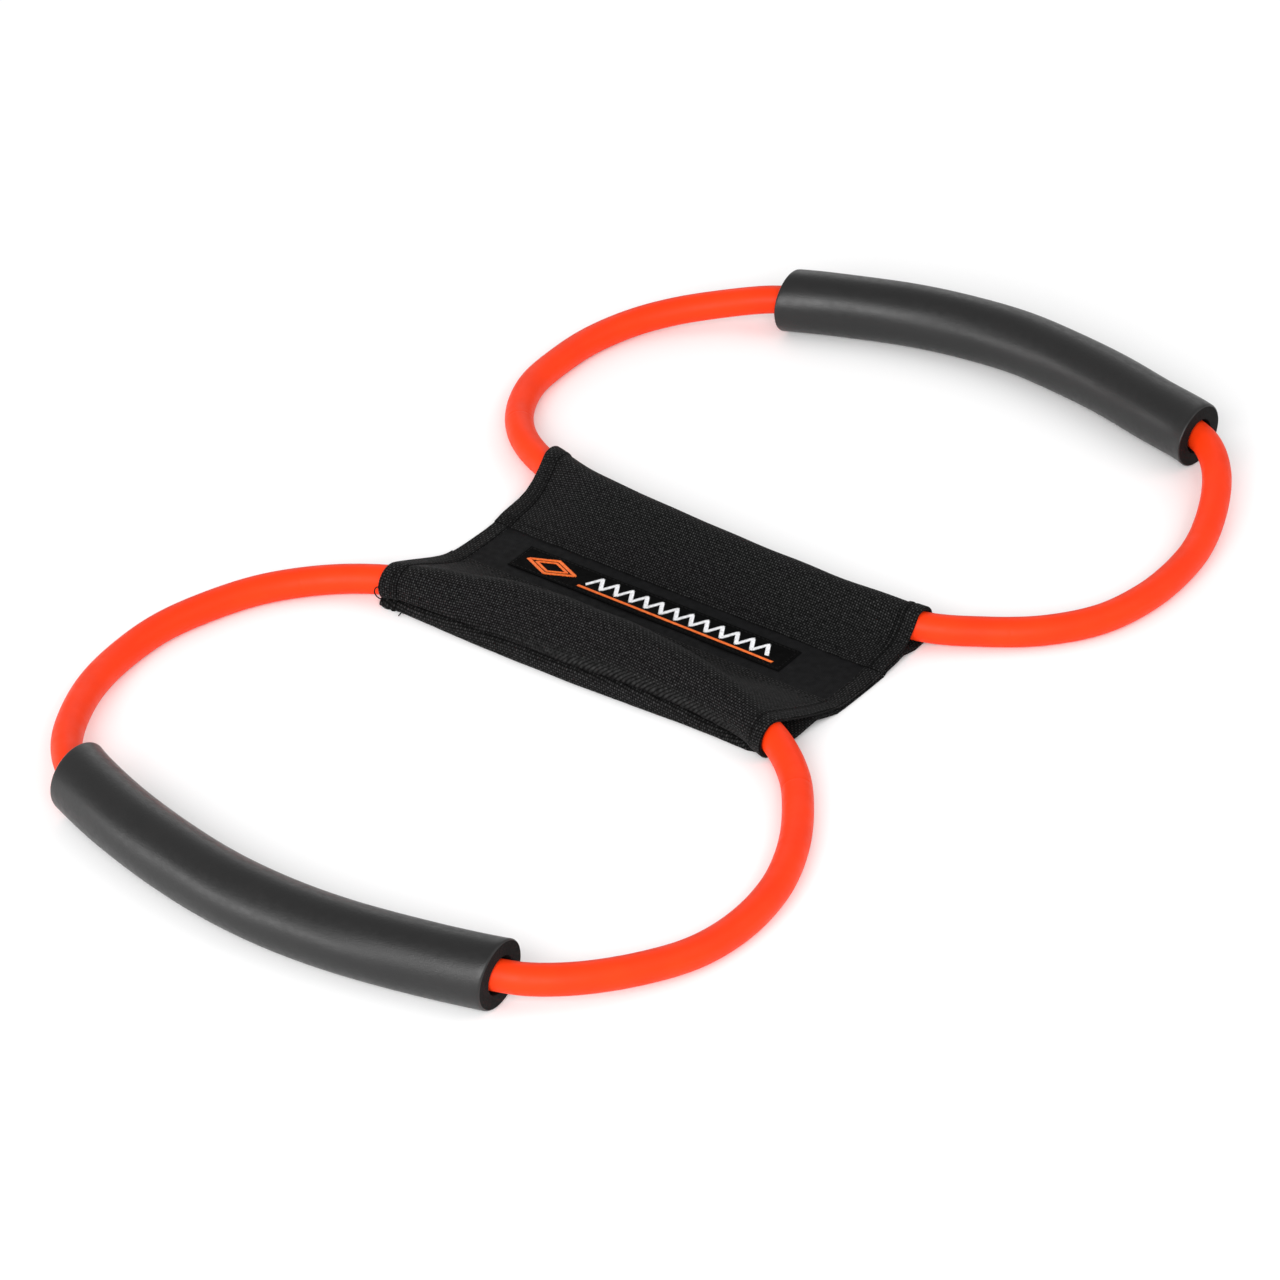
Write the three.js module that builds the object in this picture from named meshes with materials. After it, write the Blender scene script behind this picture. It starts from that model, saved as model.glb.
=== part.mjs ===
// A figure-eight resistance band: a woven cloth panel with a sleeve along each long side, a loop of
// elastic tube through each sleeve, and a foam grip over the place where each tube's ends are joined.
// Millimetres, +Z up. The band lies flat: X runs along the sleeves, Y from the near loop to the far loop,
// and the origin is the middle of its bounding box, on the surface it lies on.
import * as THREE from "three";

// Elastic tube
const TUBE_RADIUS = 5.6;
const TUBE_BORE_RADIUS = 3.3;
const TUBE_SIDES = 12;
const TUBE_BORE_SIDES = 8;
const TUBE_STEPS = 60;

// Foam grip, centred on the start of its tube's route
const GRIP_RADIUS = 12.7;
const GRIP_BORE_RADIUS = 6.6;
const GRIP_LENGTH = 192;
const GRIP_SIDES = 20;
const GRIP_BORE_SIDES = 12;
const GRIP_STEPS = 12;
const GRIP_Z = GRIP_RADIUS + 0.05;

// Barbed plug inside the tube's two ends
const COLLAR_THICKNESS = 2;
const COLLAR_RADIUS = 5.4;
const STEM_RADIUS = 2.2;
const TIP_RADIUS = 1.8;
const BARB_RADIUS = 2.7;
const BARB_PITCH = 5;
const BARB_COUNT = 3;
const BARB_RISE = 1;
const PLUG_SIDES = 12;

// Cloth panel: a backing cloth with a centre band and hems on it, and a sleeve on each side
const CLOTH = 1.1;
const GAP = 0.35;
const PANEL_LEFT_X = -88;
const PANEL_RIGHT_X = 85;
const BAND_CENTRE_Y = 5;
const BAND_WIDTH = 28;
const HEM_WIDTH = 7;
const CORNER = 0.5;

// Sleeve: the loose fit round the tube, and the outer seam's height and distance from the skirt's edge
const SLEEVE_BORE_RADIUS = TUBE_RADIUS + 1.1;
const OUTER_SEAM_Z = 5;
const SKIRT_REACH = 2.5;
const SLEEVE_STATIONS = 14;
const SLEEVE_ARC_STEPS = 7;

// Y of each sleeve's bottom edge at its right and left end
const NEAR_SKIRT_Y = [-53, -53.5];
const FAR_SKIRT_Y = [55.5, 66.5];

// Label sewn on the centre band, with its embroidery
const LABEL_LENGTH = 122;
const LABEL_WIDTH = 15;
const LABEL_THICKNESS = 0.5;
const LABEL_CENTRE_X = -5;
const LABEL_CORNER = 0.8;
const BORDER_INSET = 1;
const BORDER_WIDTH = 0.6;
const EMBROIDERY = 0.4;
const UNDERLINE_WIDTH = 1;
const UNDERLINE_X = [LABEL_CENTRE_X - 31, LABEL_CENTRE_X + 56];
const UNDERLINE_Y = BAND_CENTRE_Y - 4.2;
const ZIGZAG_X = [LABEL_CENTRE_X - 29, LABEL_CENTRE_X + 52];
const ZIGZAG_Y = [BAND_CENTRE_Y - 2.1, BAND_CENTRE_Y + 4.3];
const ZIGZAG_STROKES = 24;
const ZIGZAG_WIDTH = 1.5;
const DIAMOND_X = LABEL_CENTRE_X - 46;
const DIAMOND_LENGTH = 25;
const DIAMOND_HEIGHT = 11.5;
const DIAMOND_OPENING = 0.45;

// Sewing thread
const THREAD_WIDTH = 0.9;
const THREAD_HEIGHT = 0.4;
const SEAM_ALLOWANCE = 1.8;
const ROW_END_MARGIN = 3;
const HEM_ROW_INSET = 1.2;
const SEAM_STEPS = 10;

const UPPER_LAYER_Z = CLOTH + GAP;
const BAND_TOP_Z = UPPER_LAYER_Z + CLOTH;
const LABEL_Z = BAND_TOP_Z + GAP;
const EMBROIDERY_Z = LABEL_Z + LABEL_THICKNESS + GAP;
const ROW_Z = BAND_TOP_Z + GAP;
const PANEL_LENGTH = PANEL_RIGHT_X - PANEL_LEFT_X;
const PANEL_CENTRE_X = (PANEL_RIGHT_X + PANEL_LEFT_X) / 2;
const BAND_LENGTH = PANEL_LENGTH - 2 * (HEM_WIDTH + GAP);
const NEAR_SEAM_Y = BAND_CENTRE_Y - BAND_WIDTH / 2;
const FAR_SEAM_Y = BAND_CENTRE_Y + BAND_WIDTH / 2;

// Each tube's route starts in the middle of its grip, goes round to the right end of its sleeve,
// through the sleeve to the left end, and back round to the grip.
const NEAR_ROUTE = {
  toSleeve: [
    [-5, -230.3, GRIP_Z], [32, -228, GRIP_Z], [64, -221.3, GRIP_Z], [89.5, -214.2, GRIP_Z],
    [97.5, -210.2, 12.3], [109.5, -199, 11], [121.5, -181, 9], [130, -160.5, 7], [133, -138.5, 6],
    [131, -115.5, 6], [124, -94.5, 6], [113, -74.5, 6], [99, -56.5, 6.5],
  ],
  sleeve: [
    [81, -43.5, 8], [56, -36.5, 11], [21, -32, 13.5], [-9, -31.5, 14], [-36, -32.5, 13.5],
    [-65, -37.5, 11], [-92, -43.5, 8],
  ],
  toGrip: [
    [-111, -54.5, 6.5], [-126, -71.5, 6], [-135, -91.5, 6], [-140.5, -113.5, 6], [-140.5, -135.5, 6],
    [-135.5, -157.5, 7.5], [-126, -178.5, 9.5], [-116, -194, 11], [-105.5, -204.5, 12.3],
    [-97.5, -209.2, GRIP_Z], [-71, -218.5, GRIP_Z], [-40, -226, GRIP_Z],
  ],
};
const FAR_ROUTE = {
  toSleeve: [
    [11.5, 230.5, GRIP_Z], [35, 228.5, GRIP_Z], [57, 224.5, GRIP_Z], [81, 218, GRIP_Z],
    [104.5, 211.3, GRIP_Z], [112.5, 206.3, 12.3], [123, 194, 11], [132, 176.5, 8.5],
    [139, 154.5, 6], [142, 132.5, 6], [141, 110.5, 6], [135, 89.5, 6], [122, 71.5, 6],
    [105, 57.5, 6.5],
  ],
  sleeve: [
    [86, 45.5, 8], [56, 40.5, 10.5], [25, 39, 12], [-3, 39.5, 12.5], [-38, 42.5, 12],
    [-65, 47, 10.5], [-93, 56.5, 8],
  ],
  toGrip: [
    [-111, 68, 7], [-124, 83.5, 6], [-132, 102.5, 6], [-134, 123.5, 6], [-133, 143.5, 6],
    [-126.5, 163, 7], [-116, 177, 9], [-102, 190, 11], [-88.5, 201, 12.3],
    [-80.5, 205.3, GRIP_Z], [-61, 214.3, GRIP_Z], [-37, 223, GRIP_Z], [-13, 228.5, GRIP_Z],
  ],
};

const finish = (color, roughness) => new THREE.MeshStandardMaterial({ color, roughness, metalness: 0 });
const materials = {
  tube: finish(0xf34c2f, 0.5),
  foam: finish(0x3a3a3a, 0.7),
  cloth: finish(0x202020, 0.95),
  band: finish(0x242426, 0.85),
  label: finish(0x1c1c1c, 0.7),
  thread: finish(0x141414, 0.8),
  orangeThread: finish(0xe8702a, 0.55),
  whiteThread: finish(0xf2f2f2, 0.55),
  plug: finish(0x1e1e20, 0.4),
};

const part = new THREE.Group();

function add(name, geometry, material, x = 0, y = 0, z = 0) {
  const mesh = new THREE.Mesh(geometry, material);
  mesh.name = name;
  mesh.position.set(x, y, z);
  part.add(mesh);
}

function curveThrough(points, closed) {
  const vectors = points.map(([x, y, z]) => new THREE.Vector3(x, y, z));
  const curve = new THREE.CatmullRomCurve3(vectors, closed, "centripetal");
  curve.arcLengthDivisions = 1200;
  return curve;
}

// The stretch of a closed route between two distances from its start; a negative distance counts back.
class Stretch extends THREE.Curve {
  constructor(route, from, to) {
    super();
    this.route = route;
    this.from = from / route.getLength();
    this.to = to / route.getLength();
  }
  getPoint(t) {
    const u = this.from + (this.to - this.from) * t;
    return this.route.getPointAt((u + 1) % 1);
  }
}

function circle(radius, sides) {
  const points = [];
  for (let i = 0; i < sides; i++) {
    const angle = (2 * Math.PI * i) / sides;
    points.push(new THREE.Vector2(radius * Math.cos(angle), radius * Math.sin(angle)));
  }
  return points;
}

function ring(radius, sides, boreRadius, boreSides) {
  const shape = new THREE.Shape(circle(radius, sides));
  shape.holes.push(new THREE.Path(circle(boreRadius, boreSides).reverse()));
  return shape;
}

function sweep(shape, path, steps) {
  return new THREE.ExtrudeGeometry(shape, { steps, extrudePath: path, bevelEnabled: false });
}

function raise(shape, depth, curveSegments = 2) {
  return new THREE.ExtrudeGeometry(shape, { depth, bevelEnabled: false, curveSegments });
}

// A flat strip of one width through a list of points in plan, standing on z = 0.
function ribbon(points, width, height) {
  const left = [];
  const right = [];
  points.forEach(([x, y], i) => {
    const [ax, ay] = points[Math.max(i - 1, 0)];
    const [bx, by] = points[Math.min(i + 1, points.length - 1)];
    const length = Math.hypot(bx - ax, by - ay);
    const nx = (-(by - ay) / length) * (width / 2);
    const ny = ((bx - ax) / length) * (width / 2);
    left.push(new THREE.Vector2(x + nx, y + ny));
    right.unshift(new THREE.Vector2(x - nx, y - ny));
  });
  return raise(new THREE.Shape([...left, ...right]), height);
}

function roundedRectangle(outline, length, width, corner) {
  const x = length / 2 - corner;
  const y = width / 2 - corner;
  outline.moveTo(-x, -width / 2);
  outline.absarc(x, -y, corner, -Math.PI / 2, 0, false);
  outline.absarc(x, y, corner, 0, Math.PI / 2, false);
  outline.absarc(-x, y, corner, Math.PI / 2, Math.PI, false);
  outline.absarc(-x, -y, corner, Math.PI, 1.5 * Math.PI, false);
  return outline;
}

// A rounded rectangle standing on z = 0, centred on the origin.
function plate(length, width, height) {
  return raise(roundedRectangle(new THREE.Shape(), length, width, CORNER), height);
}

// The sleeve's section in a plane across it, as a line down the middle of the cloth: up from the inner
// seam, over the tube, down to the outer seam, under the skirt and back along the floor.
function sleeveSection(tubeCentre, seamY, skirtY) {
  const radius = SLEEVE_BORE_RADIUS + CLOTH / 2;
  const outward = Math.sign(skirtY - seamY);
  const centre = new THREE.Vector2(tubeCentre.y * outward, tubeCentre.z);
  const seam = seamY * outward + CLOTH;
  const innerSeam = new THREE.Vector2(seam, UPPER_LAYER_Z + CLOTH);
  const outerSeam = new THREE.Vector2(skirtY * outward - SKIRT_REACH, OUTER_SEAM_Z);
  const tangentAngle = (point, side) => {
    const away = point.clone().sub(centre);
    return away.angle() + side * Math.acos(Math.min(1, radius / away.length()));
  };
  const start = tangentAngle(innerSeam, -1);
  let end = tangentAngle(outerSeam, 1) % (2 * Math.PI);
  if (end > start) end -= 2 * Math.PI;
  const section = [innerSeam];
  for (let i = 0; i <= SLEEVE_ARC_STEPS; i++) {
    const angle = THREE.MathUtils.lerp(start, end, i / SLEEVE_ARC_STEPS);
    const onCircle = new THREE.Vector2(Math.cos(angle), Math.sin(angle)).multiplyScalar(radius);
    section.push(onCircle.add(centre));
  }
  section.push(outerSeam);
  section.push(new THREE.Vector2(skirtY * outward, CLOTH / 2));
  section.push(new THREE.Vector2(seam, CLOTH / 2));
  return section.map((point) => new THREE.Vector2(point.x * outward, point.y));
}

// A box bent into the sleeve's cloth: its length follows the tube and its width follows the section.
function sleeveCloth(line, seamY, skirtAt) {
  const across = sleeveSection(line.getPointAt(0), seamY, skirtAt(0)).length - 1;
  const box = new THREE.BoxGeometry(1, 1, 1, SLEEVE_STATIONS, across, 1);
  const position = box.getAttribute("position");
  for (let i = 0; i < position.count; i++) {
    const u = position.getX(i) + 0.5;
    const j = Math.round((position.getY(i) + 0.5) * across);
    const side = position.getZ(i) * CLOTH;
    const centre = line.getPointAt(u);
    const section = sleeveSection(centre, seamY, skirtAt(u));
    const before = section[Math.max(j - 1, 0)];
    const after = section[Math.min(j + 1, across)];
    const along = after.clone().sub(before).normalize();
    position.setXYZ(i, centre.x, section[j].x + along.y * side, section[j].y - along.x * side);
  }
  return box;
}

// The thread of the outer seam, along the outside of the sleeve.
function outerSeamThread(line, seamY, skirtAt) {
  const outward = Math.sign(skirtAt(0) - seamY);
  const clear = CLOTH / 2 + GAP + THREAD_HEIGHT;
  const points = [];
  for (let i = 0; i <= SEAM_STEPS; i++) {
    const u = THREE.MathUtils.lerp(0.02, 0.98, i / SEAM_STEPS);
    const y = skirtAt(u) - outward * (SKIRT_REACH - clear);
    points.push(new THREE.Vector3(line.getPointAt(u).x, y, OUTER_SEAM_Z + clear / 2));
  }
  const section = new THREE.Shape(circle(THREAD_HEIGHT, 6));
  return sweep(section, new THREE.CatmullRomCurve3(points), SEAM_STEPS);
}

// The plug's profile from its middle to one tip: half its collar, then its barbs.
function plugProfile() {
  const profile = [[COLLAR_RADIUS, COLLAR_THICKNESS / 2], [STEM_RADIUS, COLLAR_THICKNESS / 2]];
  for (let i = 0; i < BARB_COUNT; i++) {
    const base = COLLAR_THICKNESS / 2 + BARB_RISE + i * BARB_PITCH;
    profile.push([STEM_RADIUS, base]);
    profile.push([BARB_RADIUS, base + BARB_RISE]);
    profile.push([STEM_RADIUS, base + BARB_PITCH - BARB_RISE]);
  }
  const tip = COLLAR_THICKNESS / 2 + BARB_RISE + BARB_COUNT * BARB_PITCH;
  profile.push([TIP_RADIUS, tip], [0, tip]);
  return profile;
}

// The barbed plug, turned about its own axis and laid along the tube's route.
function plugAlong(route) {
  const half = plugProfile();
  const tip = half[half.length - 1][1];
  const mirrored = half.map(([r, z]) => [r, -z]).reverse();
  const whole = [...mirrored, ...half].map(([r, z]) => new THREE.Vector2(r, z));
  const turned = new THREE.LatheGeometry(whole, PLUG_SIDES);
  const position = turned.getAttribute("position");
  const line = new Stretch(route, -tip, tip);
  const upward = new THREE.Vector3(0, 0, 1);
  for (let i = 0; i < position.count; i++) {
    const t = THREE.MathUtils.clamp((position.getY(i) + tip) / (2 * tip), 0, 1);
    const tangent = line.getTangent(t);
    const sideways = tangent.clone().cross(upward).normalize();
    const up = sideways.clone().cross(tangent);
    const point = line.getPoint(t);
    point.addScaledVector(sideways, position.getX(i));
    point.addScaledVector(up, position.getZ(i));
    position.setXYZ(i, point.x, point.y, point.z);
  }
  return turned;
}

// One loop: its tube, the plug that joins the tube's ends, the grip, the sleeve and the sleeve's seam.
function addLoop(side, points, seamY, skirtEnds) {
  const route = curveThrough([...points.toSleeve, ...points.sleeve, ...points.toGrip], true);
  const tubeEnd = COLLAR_THICKNESS / 2 + GAP;
  const tubeLine = new Stretch(route, tubeEnd, route.getLength() - tubeEnd);
  const tubeRing = ring(TUBE_RADIUS, TUBE_SIDES, TUBE_BORE_RADIUS, TUBE_BORE_SIDES);
  add(`${side}_tube`, sweep(tubeRing, tubeLine, TUBE_STEPS), materials.tube);
  add(`${side}_plug`, plugAlong(route), materials.plug);
  const gripLine = new Stretch(route, -GRIP_LENGTH / 2, GRIP_LENGTH / 2);
  const gripRing = ring(GRIP_RADIUS, GRIP_SIDES, GRIP_BORE_RADIUS, GRIP_BORE_SIDES);
  add(`${side}_grip`, sweep(gripRing, gripLine, GRIP_STEPS), materials.foam);
  const sleeveLine = curveThrough(points.sleeve, false);
  const skirtAt = (u) => THREE.MathUtils.lerp(skirtEnds[0], skirtEnds[1], u);
  add(`${side}_sleeve`, sleeveCloth(sleeveLine, seamY, skirtAt), materials.cloth);
  const seamThread = outerSeamThread(sleeveLine, seamY, skirtAt);
  add(`${side}_outer_seam_thread`, seamThread, materials.thread);
}

function addPanel() {
  const backing = plate(PANEL_LENGTH, BAND_WIDTH, CLOTH);
  add("backing_cloth", backing, materials.cloth, PANEL_CENTRE_X, BAND_CENTRE_Y, 0);
  const band = plate(BAND_LENGTH, BAND_WIDTH, CLOTH);
  add("centre_band", band, materials.band, PANEL_CENTRE_X, BAND_CENTRE_Y, UPPER_LAYER_Z);
  for (const [side, edge, inward] of [["left", PANEL_LEFT_X, 1], ["right", PANEL_RIGHT_X, -1]]) {
    const hem = plate(HEM_WIDTH, BAND_WIDTH, CLOTH);
    const hemX = edge + (inward * HEM_WIDTH) / 2;
    add(`${side}_hem`, hem, materials.cloth, hemX, BAND_CENTRE_Y, UPPER_LAYER_Z);
    const rowX = edge + inward * (HEM_WIDTH - HEM_ROW_INSET);
    const rowEnds = [[rowX, NEAR_SEAM_Y + ROW_END_MARGIN], [rowX, FAR_SEAM_Y - ROW_END_MARGIN]];
    const row = ribbon(rowEnds, THREAD_WIDTH, THREAD_HEIGHT);
    add(`${side}_hem_thread`, row, materials.thread, 0, 0, ROW_Z);
  }
  const seams = [["near", NEAR_SEAM_Y + SEAM_ALLOWANCE], ["far", FAR_SEAM_Y - SEAM_ALLOWANCE]];
  for (const [side, y] of seams) {
    const reach = BAND_LENGTH / 2 - CORNER;
    const rowEnds = [[PANEL_CENTRE_X - reach, y], [PANEL_CENTRE_X + reach, y]];
    const row = ribbon(rowEnds, THREAD_WIDTH, THREAD_HEIGHT);
    add(`${side}_inner_seam_thread`, row, materials.thread, 0, 0, ROW_Z);
  }
}

function borderRing() {
  const length = LABEL_LENGTH - 2 * BORDER_INSET;
  const width = LABEL_WIDTH - 2 * BORDER_INSET;
  const shape = roundedRectangle(new THREE.Shape(), length, width, LABEL_CORNER);
  const inside = [length - 2 * BORDER_WIDTH, width - 2 * BORDER_WIDTH];
  shape.holes.push(roundedRectangle(new THREE.Path(), ...inside, LABEL_CORNER / 2));
  return raise(shape, EMBROIDERY);
}

function openDiamond() {
  const corners = (scale) => [
    new THREE.Vector2((-DIAMOND_LENGTH / 2) * scale, 0),
    new THREE.Vector2(0, (-DIAMOND_HEIGHT / 2) * scale),
    new THREE.Vector2((DIAMOND_LENGTH / 2) * scale, 0),
    new THREE.Vector2(0, (DIAMOND_HEIGHT / 2) * scale),
  ];
  const shape = new THREE.Shape(corners(1));
  shape.holes.push(new THREE.Path(corners(DIAMOND_OPENING).reverse()));
  return raise(shape, EMBROIDERY);
}

function addLabel() {
  const patch = plate(LABEL_LENGTH, LABEL_WIDTH, LABEL_THICKNESS);
  add("label", patch, materials.label, LABEL_CENTRE_X, BAND_CENTRE_Y, LABEL_Z);
  add("label_thread", borderRing(), materials.thread, LABEL_CENTRE_X, BAND_CENTRE_Y, EMBROIDERY_Z);
  const lineEnds = UNDERLINE_X.map((x) => [x, UNDERLINE_Y]);
  const underline = ribbon(lineEnds, UNDERLINE_WIDTH, EMBROIDERY);
  add("label_underline", underline, materials.orangeThread, 0, 0, EMBROIDERY_Z);
  const corners = [];
  for (let i = 0; i <= ZIGZAG_STROKES; i++) {
    corners.push([THREE.MathUtils.lerp(...ZIGZAG_X, i / ZIGZAG_STROKES), ZIGZAG_Y[i % 2]]);
  }
  const zigzag = ribbon(corners, ZIGZAG_WIDTH, EMBROIDERY);
  add("label_zigzag", zigzag, materials.whiteThread, 0, 0, EMBROIDERY_Z);
  add("label_diamond", openDiamond(), materials.orangeThread, DIAMOND_X, BAND_CENTRE_Y, EMBROIDERY_Z);
}

addPanel();
addLabel();
addLoop("near", NEAR_ROUTE, NEAR_SEAM_Y, NEAR_SKIRT_Y);
addLoop("far", FAR_ROUTE, FAR_SEAM_Y, FAR_SKIRT_Y);

export default part;
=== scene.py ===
"""The looks of a figure-eight resistance band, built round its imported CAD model.

Metres, +Z up, in the CAD's frame: X along the sleeves, Y from the near loop to the far loop. The tubes
are lofts along the CAD's routes, the grips are turned foam, and the cloth is a set of thin sheets.
"""
import math
import bmesh
import bpy
import numpy as np
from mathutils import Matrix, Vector


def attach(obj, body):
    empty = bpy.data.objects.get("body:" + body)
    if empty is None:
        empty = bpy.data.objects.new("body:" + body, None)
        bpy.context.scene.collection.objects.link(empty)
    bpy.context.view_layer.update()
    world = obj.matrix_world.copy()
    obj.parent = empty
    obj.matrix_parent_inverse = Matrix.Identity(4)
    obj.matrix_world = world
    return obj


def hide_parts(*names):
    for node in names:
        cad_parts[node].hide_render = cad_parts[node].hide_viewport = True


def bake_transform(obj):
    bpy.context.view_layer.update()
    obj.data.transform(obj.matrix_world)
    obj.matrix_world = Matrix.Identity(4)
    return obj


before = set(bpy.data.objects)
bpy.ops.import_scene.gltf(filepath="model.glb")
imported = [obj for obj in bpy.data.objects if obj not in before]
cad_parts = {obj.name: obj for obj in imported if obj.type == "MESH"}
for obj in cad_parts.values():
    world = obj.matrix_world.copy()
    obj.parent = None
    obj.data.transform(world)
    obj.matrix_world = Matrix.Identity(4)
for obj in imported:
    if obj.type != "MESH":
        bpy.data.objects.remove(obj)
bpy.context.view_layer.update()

MM = 0.001

# Camera: where it looks, and from where
LOOK_AT = Vector((0.001, -0.0115, 0))
CAMERA_AZIMUTH = math.radians(35.5)
CAMERA_ELEVATION = math.radians(34)
CAMERA_DISTANCE = 1.898
CAMERA_LENS = 146.25
SENSOR_WIDTH = 36

WORLD_STRENGTH = 0.6

# Tube and grip
TUBE_RADIUS = 5.6 * MM
TUBE_BORE_RADIUS = 3.3 * MM
TUBE_SIDES = 48
TUBE_STEP = 1.5 * MM
TUBE_EDGE = 0.02 * MM
GRIP_RADIUS = 12.7 * MM
GRIP_BORE_RADIUS = 7 * MM
GRIP_LENGTH = 192 * MM
GRIP_SIDES = 96
GRIP_STEP = 1.5 * MM
GRIP_EDGE = 0.9 * MM
PLUG_HALF_COLLAR = 1.35 * MM
STRETCH_CLEARANCE = 3 * MM
BEND_LENGTH = 32 * MM

# Cloth
CLOTH = 0.95 * MM
SLEEVE_LENGTH = 173 * MM
SECTION_COLUMNS = 150
SECTION_STEP = 0.25 * MM
SHEET_ROUNDING = 0.55 * MM
CLOTH_STEP = 1.25 * MM
EDGE_STEPS = (0, 0.08 * MM, 0.25 * MM, SHEET_ROUNDING)
HEM_WIDTH = 7 * MM
HEM_EXTRA = 0.6 * MM
HEM_THICKNESS = 1.15 * MM
HEM_STITCH_INSET = 2 * MM
NEAR_SLEEVE_RADIUS = TUBE_RADIUS + 0.9 * MM
FAR_SLEEVE_RADIUS = TUBE_RADIUS + 1.3 * MM
WEAVE_PITCH = 0.92 * MM
GATHER_PITCH = 1.8 * MM
RIB_PITCH = 0.55 * MM
NEAR_SEAM_Y = -9 * MM
FAR_SEAM_Y = 19 * MM
BAND_CENTRE_Y = 5 * MM
BAND_HALF_WIDTH = 14 * MM
BAND_Z = 2.05 * MM
HEM_Z = 2.3 * MM
BACKING_Z = 0.6 * MM
SEAM_TOP_Z = 3 * MM
SEAM_LAP = 1.2 * MM

PANEL_LEFT = -88 * MM
PANEL_RIGHT = 86 * MM
TROUGH_RISE = 0.2 * MM
HEM_RISE = 0.65 * MM

# Label
LABEL_CENTRE_X = -5 * MM
LABEL_LENGTH = 122 * MM
LABEL_WIDTH = 15 * MM
LABEL_THICKNESS = 0.55 * MM
LABEL_Z = 2.87 * MM

# Routes in millimetres, as the CAD has them: from the middle of the grip to the sleeve's right end,
# through the sleeve, and back round the left side. GRIP_Z is the height of the tube inside a grip.
GRIP_Z = 12.75
NEAR_TO_SLEEVE = [
    (-5, -230.3, GRIP_Z), (32, -228, GRIP_Z), (64, -221.3, GRIP_Z), (89.5, -214.2, GRIP_Z),
    (97.5, -210.2, 12.3), (109.5, -199, 11), (121.5, -181, 9), (130, -160.5, 7), (133, -138.5, 6),
    (131, -115.5, 6), (124, -94.5, 6), (113, -74.5, 6), (99, -56.5, 6.5),
]
NEAR_SLEEVE = [
    (81, -43.5, 8), (56, -36.5, 11), (21, -32, 13.5), (-9, -31.5, 14), (-36, -32.5, 13.5),
    (-65, -37.5, 11), (-92, -43.5, 8),
]
NEAR_TO_GRIP = [
    (-111, -54.5, 6.5), (-126, -71.5, 6), (-135, -91.5, 6), (-140.5, -113.5, 6), (-140.5, -135.5, 6),
    (-135.5, -157.5, 7.5), (-126, -178.5, 9.5), (-116, -194, 11), (-105.5, -204.5, 12.3),
    (-97.5, -209.2, GRIP_Z), (-71, -218.5, GRIP_Z), (-40, -226, GRIP_Z),
]
FAR_TO_SLEEVE = [
    (11.5, 230.5, GRIP_Z), (35, 228.5, GRIP_Z), (57, 224.5, GRIP_Z), (81, 218, GRIP_Z),
    (104.5, 211.3, GRIP_Z), (112.5, 206.3, 12.3), (123, 194, 11), (132, 176.5, 8.5),
    (139, 154.5, 6), (142, 132.5, 6), (141, 110.5, 6), (135, 89.5, 6), (122, 71.5, 6),
    (105, 57.5, 6.5),
]
FAR_SLEEVE = [
    (86, 45.5, 8), (56, 40.5, 10.5), (25, 39, 12), (-3, 39.5, 12.5), (-38, 42.5, 12),
    (-65, 47, 10.5), (-93, 56.5, 8),
]
FAR_TO_GRIP = [
    (-111, 68, 7), (-124, 83.5, 6), (-132, 102.5, 6), (-134, 123.5, 6), (-133, 143.5, 6),
    (-126.5, 163, 7), (-116, 177, 9), (-102, 190, 11), (-88.5, 201, 12.3),
    (-80.5, 205.3, GRIP_Z), (-61, 214.3, GRIP_Z), (-37, 223, GRIP_Z), (-13, 228.5, GRIP_Z),
]
# Each sleeve's outer seam and the bottom edge of its skirt in millimetres, right end to left end
NEAR_OUTER_SEAM = [
    (83, -44.6, 1.3), (75, -45, 3), (61, -45.2, 4.6), (47, -45.4, 6.2), (27, -46.2, 7.6),
    (12, -47.2, 7.8), (0, -47.6, 7.1), (-14, -47.6, 6.8), (-26, -47.8, 7.1), (-40, -47.8, 6.4),
    (-57, -47.6, 6.2), (-75, -47.2, 5), (-93, -47.2, 3.4),
]
NEAR_SKIRT = [
    (83, -45, 0.6), (75, -46.6, 0.6), (66, -46.8, 0.6), (47, -47.2, 0.6), (27, -48.1, 0.6),
    (0, -49.3, 0.6), (-16, -49.4, 0.6), (-30, -49.7, 0.6), (-50, -49.5, 0.6), (-81, -48.7, 0.6),
    (-93, -49.1, 0.6),
]
FAR_OUTER_SEAM = [
    (88, 51, 4), (56, 53, 5), (25, 53, 5.6), (-3, 54, 5.8), (-38, 57.2, 5.6), (-65, 60, 5), (-94, 63.6, 4),
]
FAR_SKIRT = [
    (88, 53.5, 0.6), (56, 56, 0.6), (25, 56.4, 0.6), (-3, 57.4, 0.6), (-38, 60.6, 0.6), (-65, 63, 0.6),
    (-94, 66, 0.6),
]


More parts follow.
